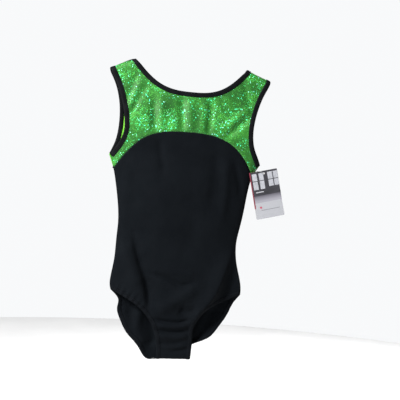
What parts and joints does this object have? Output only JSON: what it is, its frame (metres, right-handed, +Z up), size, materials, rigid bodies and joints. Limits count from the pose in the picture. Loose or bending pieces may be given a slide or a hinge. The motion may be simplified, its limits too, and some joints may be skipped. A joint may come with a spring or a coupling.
{
  "type": "gymnastics leotard",
  "caption": "Sleeveless gymnastics leotard with a foil yoke, plain body, bound neck and armholes and a swing tag, as it hangs by its straps.",
  "frame": {"origin": "midway between the undersides of the two shoulder ridges, where a hanger or rail carries the straps", "axes": "+Z up, -Y out of the garment's front, +X to the wearer's left"},
  "size_m": [0.3918, 0.0425, 0.6304],
  "materials": {
    "foil_knit": "satin",
    "plain_knit": "matte",
    "lining_knit": "matte",
    "binding_tape": "satin",
    "elastic_tape": "matte",
    "hem_knit": "matte",
    "seam_thread": "matte",
    "woven_label": "satin",
    "clear_nylon": "gloss",
    "printed_card": "satin",
    "coloured_card": "satin"
  },
  "bodies": {
    "leotard": {"front_yoke": "foil_knit", "back_yoke": "foil_knit", "front_body": "plain_knit", "back_body": "plain_knit", "gusset_lining": "lining_knit", "neck_binding": "binding_tape", "neck_elastic": "elastic_tape", "left_armhole_binding": "binding_tape", "right_armhole_binding": "binding_tape", "left_armhole_elastic": "elastic_tape", "right_armhole_elastic": "elastic_tape", "left_leg_hem": "hem_knit", "right_leg_hem": "hem_knit", "left_leg_elastic": "elastic_tape", "right_leg_elastic": "elastic_tape", "left_shoulder_seam": "seam_thread", "right_shoulder_seam": "seam_thread", "left_side_seam": "seam_thread", "right_side_seam": "seam_thread", "front_yoke_seam": "seam_thread", "back_yoke_seam": "seam_thread", "crotch_seam": "seam_thread", "care_label": "woven_label"},
    "loop": {"tag_loop": "clear_nylon"},
    "front_tag": {"front_card": "printed_card"},
    "rear_tag": {"rear_card": "coloured_card"}
  },
  "joints": [
    {"name": "tag_loop_swing", "type": "hinge", "parent": "leotard", "child": "loop", "pos_m": [0.1505, 0, -0.204], "axis": [0, -1, 0], "range_deg": [-10, 25]},
    {"name": "front_card_swing", "type": "hinge", "parent": "loop", "child": "front_tag", "pos_m": [0.168, 0, -0.21], "axis": [0, -1, 0], "range_deg": [-8, 35]},
    {"name": "rear_card_swing", "type": "hinge", "parent": "loop", "child": "rear_tag", "pos_m": [0.168, 0, -0.21], "axis": [0, -1, 0], "range_deg": [-8, 35]}
  ]
}
